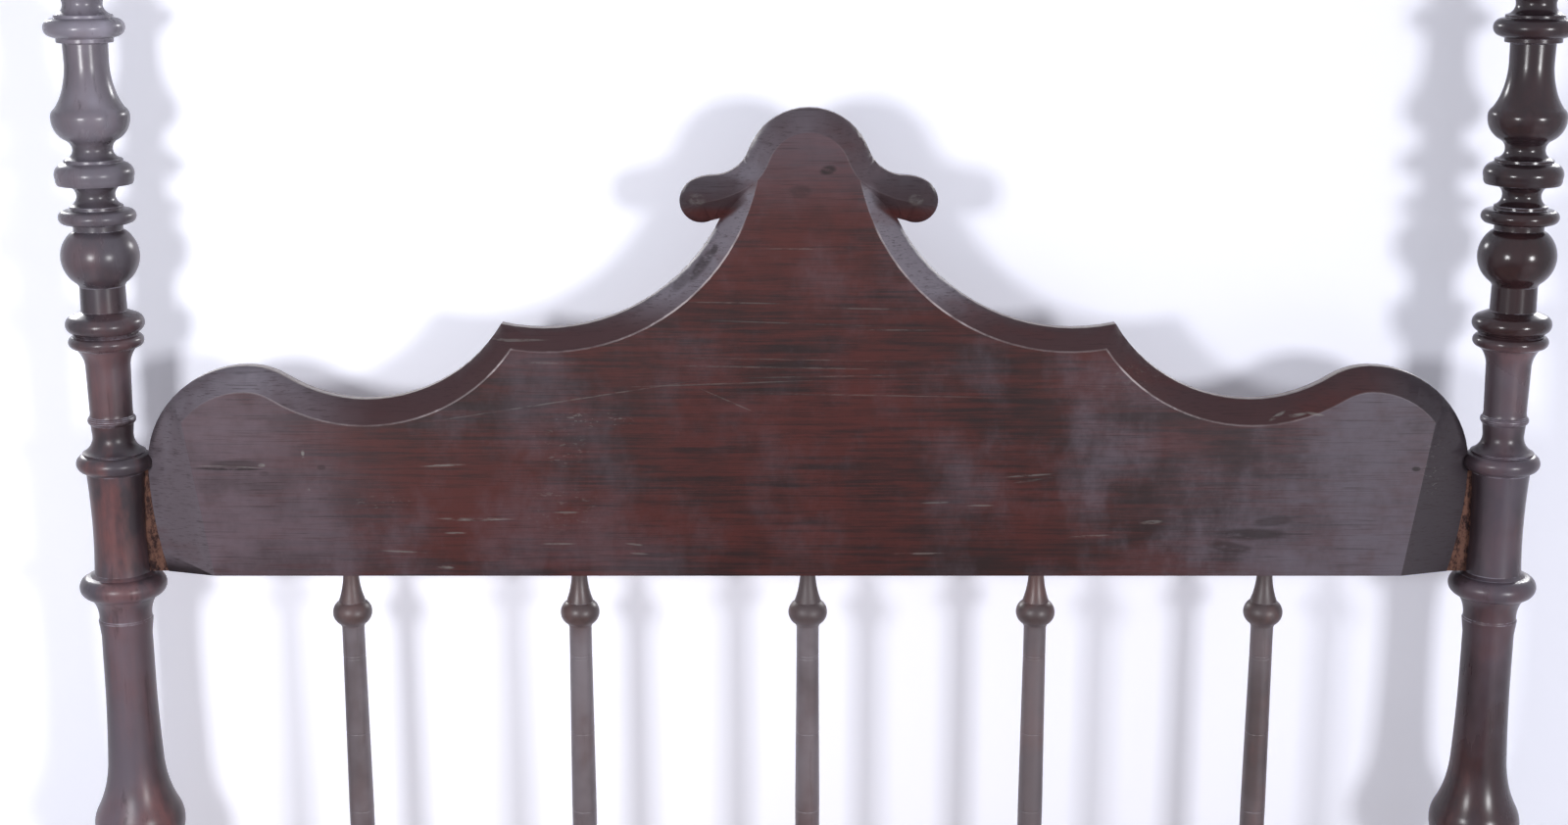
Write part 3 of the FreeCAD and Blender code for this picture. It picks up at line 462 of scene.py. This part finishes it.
spindleFinish = {
    "body": (0.054, 0.036, 0.037),
    "red": (0.110, 0.048, 0.042),
    "haze": (0.172, 0.150, 0.170),
    "rough": 0.36,
}
railFinish = {
    "body": (0.026, 0.014, 0.013),
    "red": (0.085, 0.026, 0.018),
    "haze": (0.070, 0.058, 0.062),
    "rough": 0.32,
}
woods = {
    "panel": panelWood(),
    "post": postWood(),
    "spindle": straightWood("spindle_mahogany", spindleFinish, (1.0, 1.0, 0.08)),
    "crossRail": straightWood("rail_mahogany_across", railFinish, (0.06, 1, 1)),
    "sideRail": straightWood("rail_mahogany_along", railFinish, (1, 0.06, 1)),
    "slat": bareWood("slat_timber_across", (0.05, 1, 1)),
    "ledge": bareWood("ledge_timber_along", (1, 0.05, 1)),
    "iron": boltIron(),
    "brass": coverBrass(),
}
print("materials made")


turning = {
    "straight": 0.05,          # a smaller bow is cut straight
    "chord": 2.4,              # longest straight piece of a bow
    "bend": 9,                 # and its largest turn, in degrees
}


def mirrored(steps, middle):
    # the same profile upside down about a height; each bow stays on its own cut
    bows = [step[2:] for step in steps[1:]] + [()]
    return [(step[0], 2.0 * middle - step[1], *bow) for step, bow in zip(steps, bows)][::-1]


def lathe(steps, around=96):
    # spins a profile about Z; a third number bows the cut outwards, or inwards where negative
    row = [(0.0, steps[0][1])] + [steps[0][:2]]
    for start, end in zip(steps, steps[1:]):
        run, rise = end[0] - start[0], end[1] - start[1]
        length = math.hypot(run, rise)
        bulge = end[2] if len(end) == 3 else 0.0
        if abs(bulge) < turning["straight"]:
            row.append((end[0], end[1]))
            continue
        turn = 2.0 * math.atan(2.0 * abs(bulge) / length)
        radius = length / (2.0 * math.sin(turn))
        count = max(4, math.ceil(turn * 2.0 * radius / turning["chord"]))
        count = min(count, max(6, math.ceil(turn * 2.0 / math.radians(turning["bend"]))))
        side = math.copysign(1.0, bulge)
        for i in range(1, count + 1):
            angle = -turn + 2.0 * turn * i / count
            along = (length / 2.0 + radius * math.sin(angle)) / length
            off = side * radius * (math.cos(angle) - math.cos(turn)) / length
            row.append((start[0] + run * along + rise * off, start[1] + rise * along - run * off))
    row.append((0.0, steps[-1][1]))
    bm = bmesh.new()
    verts = [bm.verts.new((r * mm, 0, z * mm)) for r, z in row]
    edges = [bm.edges.new(pair) for pair in zip(verts, verts[1:])]
    bmesh.ops.spin(bm, geom=verts + edges, cent=(0, 0, 0), axis=(0, 0, 1), angle=math.tau,
                   steps=around, use_merge=True)
    bmesh.ops.remove_doubles(bm, verts=bm.verts, dist=1e-6)
    bmesh.ops.dissolve_degenerate(bm, edges=bm.edges, dist=1e-7)
    bmesh.ops.recalc_face_normals(bm, faces=bm.faces)
    return bm


def soften(bm, width, sharper=25.0, chosen=None):
    # small worn roundings on the sharp edges, marked for the materials; chosen edges get the full width
    worn = bm.faces.layers.float.new("worn")
    limit = math.radians(sharper)
    sharp = [e for e in bm.edges if len(e.link_faces) == 2 and e.calc_face_angle(0) > limit]
    if chosen:
        sharp = [e for e in sharp if chosen(e)]
    made = bmesh.ops.bevel(bm, geom=sharp, offset=width, offset_type="OFFSET", affect="EDGES", segments=2,
                           profile=0.5, material=-1, clamp_overlap=chosen is None)
    for face in made["faces"]:
        face[worn] = 1.0


def copyNode(name):
    bm = bmesh.new()
    bm.from_mesh(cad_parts[name].data)
    bmesh.ops.remove_doubles(bm, verts=bm.verts, dist=1e-5)
    return bm


def addTo(bm, other):
    held = bpy.data.meshes.new("held")
    other.to_mesh(held)
    other.free()
    bm.from_mesh(held)
    bpy.data.meshes.remove(held)


def makePiece(bm, name, body, material, replaced, smooth=40.0):
    mesh = bpy.data.meshes.new(name)
    for face in bm.faces:
        face.smooth = True
    bm.to_mesh(mesh)
    bm.free()
    mesh.set_sharp_from_angle(angle=math.radians(smooth))
    mesh.materials.append(material)
    piece = bpy.data.objects.new(name, mesh)
    bpy.context.scene.collection.objects.link(piece)
    even = piece.modifiers.new("even_normals", "WEIGHTED_NORMAL")
    even.weight = 60
    even.keep_sharp = True
    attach(piece, body)
    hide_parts(*replaced)


lowerPost = {
    "foot": [(29, 0), (32, 7, 1.5), (26, 20, -1.2), (43, 140, 5), (33, 174, 5), (29.5, 176), (29.5, 184),
             (38, 186), (38, 206, 7), (33, 208), (47, 249, -6)],
    "shaft": [(47, 593), (44, 596), (33, 612, -3), (33, 616), (38, 618), (38, 640, 7.5), (33, 642),
              (31, 654, -0.6), (33, 664), (47, 700, 3.9), (42.5, 717, 1), (33, 742, -0.8), (28.8, 773, -0.8),
              (26.2, 851, -0.4), (26, 911), (28, 927), (27, 929), (30.5, 947, -1.2), (34, 953), (33, 976, 11),
              (28.5, 979), (26.9, 1024.6, -0.4), (29.5, 1087, -0.6), (31, 1088.5), (31, 1107, 7.8),
              (32, 1109), (20.8, 1129, -4), (21.6, 1138.5), (22, 1147, 2.6), (21.4, 1151), (22.4, 1197.5),
              (29.5, 1218, -2),
              (33, 1219.5), (33, 1232, 4.7), (32, 1233.4), (14.05, 1233.4), (14.05, 1161.4)],
    "worn": 0.0005,
}
upperPost = {
    "section": [(13, 1163.4), (14, 1165.4), (14, 1233.4), (32, 1233.4), (33, 1235), (33, 1253, 6.5),
                (23, 1257), (22.6, 1283), (24.5, 1286), (28, 1338, 12.7), (24.5, 1340), (24.5, 1346),
                (32.5, 1347), (31.5, 1361, 6.4), (26.5, 1361.5), (26.5, 1365), (29.5, 1386, -9),
                (36.8, 1386.5), (38.5, 1393, 0.6), (31.5, 1408, 3.5), (29, 1409), (29, 1412),
                (25.3, 1431, -7.5), (38.5, 1453, 3.6), (34, 1463.5, 1.6), (25.8, 1481, -0.8),
                (21.8, 1507, -0.9), (22.2, 1527),
                (27.9, 1528), (27.9, 1532), (32.5, 1533.5), (32.5, 1551.5, 7), (28.8, 1552), (28.8, 1555),
                (29, 1576, -9.5), (29, 1579), (33, 1580), (33, 1600, 7.5), (28, 1602), (28, 1605),
                (24, 1618, -2), (36, 1672, 3.5), (30, 1724, 1.2), (21, 1870, -1), (21, 1882, 3.5),
                (20.5, 1898), (29, 1912, -2.5), (33, 1914), (33, 1932, 7), (30, 1934), (30, 1940)],
    "worn": 0.0005,
}
finial = {
    "around": 72,
    "urn": [(8, 1910), (8, 1940), (26, 1940), (26, 1945), (13, 1958, -3), (13, 1961), (19, 1963),
            (18, 1968, 2.2), (31, 1998, 5), (24, 2016, 3.4), (12, 2024, -1), (11, 2028), (14, 2036, 1.6),
            (4, 2058, 5.5), (0.5, 2060)],
    "worn": 0.0004,
}


def squareBlock(node):
    bm = copyNode(node)
    for height, side in ((bed["blockLow"] * mm, -1), (bed["blockHigh"] * mm, 1)):
        bmesh.ops.bisect_plane(bm, geom=bm.verts[:] + bm.edges[:] + bm.faces[:], dist=1e-7,
                               plane_co=(0, 0, height), plane_no=(0, 0, side), clear_outer=True)
    return bm


def placed(bm, x, y):
    bmesh.ops.translate(bm, verts=bm.verts, vec=(x, y, 0))
    return bm


for corner, (sideX, sideY) in corners.items():
    x, y = sideX * bed["postX"], sideY * bed["postY"]
    node = corner.replace("_", "_post_")
    post = lathe(lowerPost["shaft"])
    addTo(post, lathe(lowerPost["foot"]))
    placed(post, x, y)
    soften(post, lowerPost["worn"])
    addTo(post, squareBlock(node))
    makePiece(post, "turned_" + node, "frame", woods["post"], [node])
    upper = placed(lathe(upperPost["section"]), x, y)
    soften(upper, upperPost["worn"])
    makePiece(upper, "turned_upper_" + corner, "upper_" + corner, woods["post"],
              ["upper_post_" + corner])
    urn = placed(lathe(finial["urn"], finial["around"]), x, y)
    soften(urn, finial["worn"])
    makePiece(urn, "urn_" + corner, "upper_" + corner, woods["post"], ["finial_" + corner])
print("posts made")

spindle = {
    "radius": 11.7,
    "end": 8.0,
    "socket": 22.0,
    "cove": 32.0,
    "coveBow": -1.4,
    "bead": 24.0,
    "beadRadius": 14.0,
    "beadBow": 6.4,
    "collar": 28.0,            # plain length below the bead
    "lip": 4.0,                # where the shaft flares out to the bead
    "fillet": 1.0,
    "lipRadius": 13.0,
    "line": 0.45,              # depth of the scribed lines, and half their width
    "lineHalf": 0.7,
    "count": 5,
    "spacing": 0.240,
    "around": 64,
    "worn": 0.0003,
}
headSpindles = {
    "swelling": 1.4,           # of the shaft's radius, at its middle
    "lines": (888, 885, 801, 712.5, 627, 543),
}
footSpindles = {
    "swelling": 0.6,
    "lines": (564,),
}


def spindleSteps(low, high, swelling, lines):
    beadTop = high - spindle["cove"]
    beadLow = beadTop - spindle["bead"]
    shaft, end, bead = spindle["radius"], spindle["end"], spindle["beadRadius"]
    middle = (low + high) / 2.0
    top = [(shaft, beadLow - spindle["collar"]), (shaft, beadLow - spindle["lip"]),
           (spindle["lipRadius"], beadLow - spindle["fillet"]),
           (bead, beadLow), (bead, beadTop, spindle["beadBow"]),
           (end, high, spindle["coveBow"]), (end, high + spindle["socket"])]
    cuts = []
    reach = top[0][1] - middle
    for height in lines:
        radius = shaft + swelling * max(0.0, 1.0 - abs(height - middle) / reach)
        cuts += [(radius, height - spindle["lineHalf"]), (radius - spindle["line"], height),
                 (radius, height + spindle["lineHalf"])]
    cuts.append((shaft + swelling, middle))
    cuts.sort(key=lambda step: step[1])
    return mirrored(top, middle) + cuts + top


def addSpindles(prefix, y, high, kind):
    steps = spindleSteps(bed["railTop"], high, kind["swelling"], kind["lines"])
    middle = (spindle["count"] + 1) / 2
    for number in range(1, spindle["count"] + 1):
        bm = placed(lathe(steps, spindle["around"]), (number - middle) * spindle["spacing"], y)
        soften(bm, spindle["worn"])
        node = "%s_spindle_%d" % (prefix, number)
        makePiece(bm, "turned_" + node, "frame", woods["spindle"], [node])


addSpindles("head", bed["railMiddleY"], bed["boardBottom"], headSpindles)
addSpindles("foot", -bed["postY"], bed["footBarBottom"], footSpindles)

footBar = {
    "half": [(22, 0), (22, 108), (22, 132, 5), (22, 348), (22, 372, 5), (22, 588), (24, 590), (24, 612, 6),
             (21, 614), (14, 642, -2.5), (14, 700)],
    "height": 0.700,
    "around": 72,
    "worn": 0.0005,
}
bar = lathe(mirrored(footBar["half"], 0.0)[:-1] + footBar["half"], footBar["around"])
bmesh.ops.rotate(bar, verts=bar.verts, cent=(0, 0, 0), matrix=Matrix.Rotation(math.pi / 2, 3, "Y"))
bmesh.ops.translate(bar, verts=bar.verts, vec=(0, -bed["postY"], footBar["height"]))
soften(bar, footBar["worn"])
makePiece(bar, "turned_foot_bar", "frame", woods["post"], ["foot_bar"])
print("spindles and bar made")

headboard = {
    "worn": 0.0010,
    "wornFrom": 14.0,          # degrees between two faces whose edge is rounded
    "frontY": 0.985,           # edges in front of this and above the board's foot are worn
    "footZ": 0.990,
    "flat": 0.6,               # degrees between the CAD's loose triangles that are one face
    "smooth": 60.0,
    "slopeFaces": (-0.97, -0.3),         # how far the sloped edge's faces look to the front
    "rimFaces": (0.2, -0.3),   # the top edge looks neither forwards nor down
    "tongueFaces": -0.9,
    "tongueY": 0.991,          # the bare tongues lie a little behind the sloped edge
    "tongueSlack": 0.0005,
}


def isFrontEdge(edge):
    return (max(vert.co.y for vert in edge.verts) < headboard["frontY"]
            and max(vert.co.z for vert in edge.verts) > headboard["footZ"])


def markFaces(bm, name, test):
    layer = bm.faces.layers.float.new(name)
    for face in bm.faces:
        face[layer] = 1.0 if test(face) else 0.0


def isSlope(face):
    low, high = headboard["slopeFaces"]
    return low < face.normal.y < high


def isRim(face):
    forwards, down = headboard["rimFaces"]
    return abs(face.normal.y) < forwards and face.normal.z > down


def isBare(face):
    behind = abs(face.calc_center_median().y - headboard["tongueY"])
    return face.normal.y < headboard["tongueFaces"] and behind < headboard["tongueSlack"]


board = copyNode("headboard")
bmesh.ops.dissolve_limit(board, angle_limit=math.radians(headboard["flat"]), verts=board.verts, edges=board.edges)
board.normal_update()
markFaces(board, "slope", isSlope)
markFaces(board, "rim", isRim)
markFaces(board, "bare", isBare)
soften(board, headboard["worn"], headboard["wornFrom"], isFrontEdge)
makePiece(board, "shaped_headboard", "frame", woods["panel"], ["headboard"], headboard["smooth"])
print("headboard made")

finishes = {
    "head_rail": "crossRail",
    "foot_rail": "crossRail",
    "side_rail": "sideRail",
    "slat_ledge": "ledge",
    "slat_": "slat",
    "rail_pegs": "ledge",
    "bed_bolts": "iron",
    "bolt_nuts": "iron",
    "bolt_cover": "brass",
    "cover_screws": "brass",
    "ledge_screws": "brass",
}
for name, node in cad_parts.items():
    for start, finish in finishes.items():
        if name.startswith(start):
            node.material_slots[0].material = woods[finish]
            break
print("finishes set")


studio = {
    "wallY": 1.10,             # the bed stands close to the wall
    "wallTop": 9.0,
    "reach": 12.0,             # floor and wall to each side
    "farFrom": (2.3, 5.0),     # where the glow turns from near to far
    "wall": (0.80, 0.80, 0.83),
    "wallSeen": (0.83, 0.845, 0.95),     # as the camera, polish and glass see it, with a glow added
    "floorSeen": (0.76, 0.76, 0.78),
    "nearGlow": (0.150, 0.150, 0.165),
    "farGlow": (0.64, 0.64, 0.66),
    "paintedLightLeft": (1.22, 1.22, 1.20),
    "leftFrom": (0.4, -0.9),
    "floor": (0.88, 0.88, 0.90),
    "sky": (0.91, 0.93, 1.0),
    "ambient": 0.24,
    "lampColour": (0.985, 0.985, 1.0),
    "aim": (0, 0.5, 1.0),
    "lamps": [                 # place, power, size
        ((-1.02, -0.70, 1.45), 22.0, 0.37),
        ((2.20, -2.20, 1.45), 75.0, 0.66),
        ((-2.6, 4.0, 2.6), 60.0, 0.42),
        ((2.6, 4.0, 2.6), 60.0, 0.42),
    ],
}


lightPath = {"camera": 0, "shadow": 1, "glossy": 3, "transmission": 6}


def lookingRays(rays):
    # what the camera, polish and glass see, as against the light that falls on things
    camera, glossy, transmission = (rays[lightPath[kind]] for kind in ("camera", "glossy", "transmission"))
    return camera.most(glossy).most(transmission)


def sheetOf(name, edges, colour, seen):
    # one face; the camera, polish and glass see it in a paler colour, with a glow added
    bm = bmesh.new()
    bmesh.ops.create_grid(bm, x_segments=1, y_segments=1, size=1.0)
    for vert, place in zip(bm.verts, edges):
        vert.co = place
    mesh = bpy.data.meshes.new(name)
    bm.to_mesh(mesh)
    bm.free()
    piece = bpy.data.objects.new(name, mesh)
    bpy.context.scene.collection.objects.link(piece)
    material, place = startMaterial(name + "_paint")
    rays = place.node("ShaderNodeLightPath").each()
    looking = lookingRays(rays)
    across = split(place)[0]
    # painted light: as the camera, polish and glass see them, the floor and wall are brighter towards the left
    seen = blendColour(across.ramp(*studio["leftFrom"]), seen, studio["paintedLightLeft"], "MULTIPLY")
    away = place.node("ShaderNodeVectorMath", {"operation": "LENGTH"}, {0: place}, output=1)
    glow = blendColour(away.ramp(*studio["farFrom"]), studio["nearGlow"], studio["farGlow"])
    glow = blendColour(looking, (0, 0, 0), glow)
    inputs = {"Base Color": blendColour(looking, colour, seen), "Roughness": 1.0, "Specular IOR Level": 0.0,
              "Emission Color": glow, "Emission Strength": 1.0}
    paint = place.node("ShaderNodeBsdfPrincipled", None, inputs)
    # seen from its front only, and it stops no lamp
    behind = place.node("ShaderNodeNewGeometry", output=6)
    clear = place.node("ShaderNodeBsdfTransparent")
    mixed = place.node("ShaderNodeMixShader", None, {0: behind.most(rays[lightPath["shadow"]]), 1: paint, 2: clear})
    place.node("ShaderNodeOutputMaterial", None, {"Surface": mixed})
    mesh.materials.append(material)


def addLamp(name, place, power, size):
    light = bpy.data.lights.new(name, "AREA")
    light.energy = power
    light.color = studio["lampColour"]
    light.size = size
    lamp = bpy.data.objects.new(name, light)
    lamp.location = place
    lamp.rotation_euler = (Vector(studio["aim"]) - Vector(place)).to_track_quat("-Z", "Y").to_euler()
    bpy.context.scene.collection.objects.link(lamp)


wallY, reach, top = studio["wallY"], studio["reach"], studio["wallTop"]
floorCorners = [(-reach, -reach, 0), (reach, -reach, 0), (-reach, reach, 0), (reach, reach, 0)]
wallCorners = [(-reach, wallY, 0), (reach, wallY, 0), (-reach, wallY, top), (reach, wallY, top)]
sheetOf("floor", floorCorners, studio["floor"], studio["floorSeen"])
sheetOf("wall", wallCorners, studio["wall"], studio["wallSeen"])
for i, (place, power, size) in enumerate(studio["lamps"]):
    addLamp("lamp_%d" % i, place, power, size)

world = bpy.data.worlds.new("studio")
world.use_nodes = True
world.node_tree.nodes.clear()
sky = Wire(world.node_tree, None)
rays = sky.node("ShaderNodeLightPath").each()
# the camera, polish and glass see white; other rays get the plain ambient light
strength = lookingRays(rays).ramp(0.0, 1.0, studio["ambient"], 1.0)
air = sky.node("ShaderNodeBackground", None, {"Color": (*studio["sky"], 1), "Strength": strength})
sky.node("ShaderNodeOutputWorld", None, {"Surface": air})
bpy.context.scene.world = world

view = {
    "lens": 50.0,              # mm, on a sensor 36 mm wide
    "sensor": 36.0,
    "nearest": 0.02,
    "place": (-0.025, -1.202, 1.660),    # at the height of a standing eye, just past the foot end
    "tilt": 76.9,              # degrees from straight down
}
lens = bpy.data.cameras.new("camera")
lens.lens = view["lens"]
lens.sensor_width = view["sensor"]
lens.clip_start = view["nearest"]
camera = bpy.data.objects.new("camera", lens)
camera.location = view["place"]
camera.rotation_euler = (math.radians(view["tilt"]), 0, 0)
bpy.context.scene.collection.objects.link(camera)
bpy.context.scene.camera = camera
bpy.context.scene.view_settings.view_transform = "Standard"

print("scene ready")
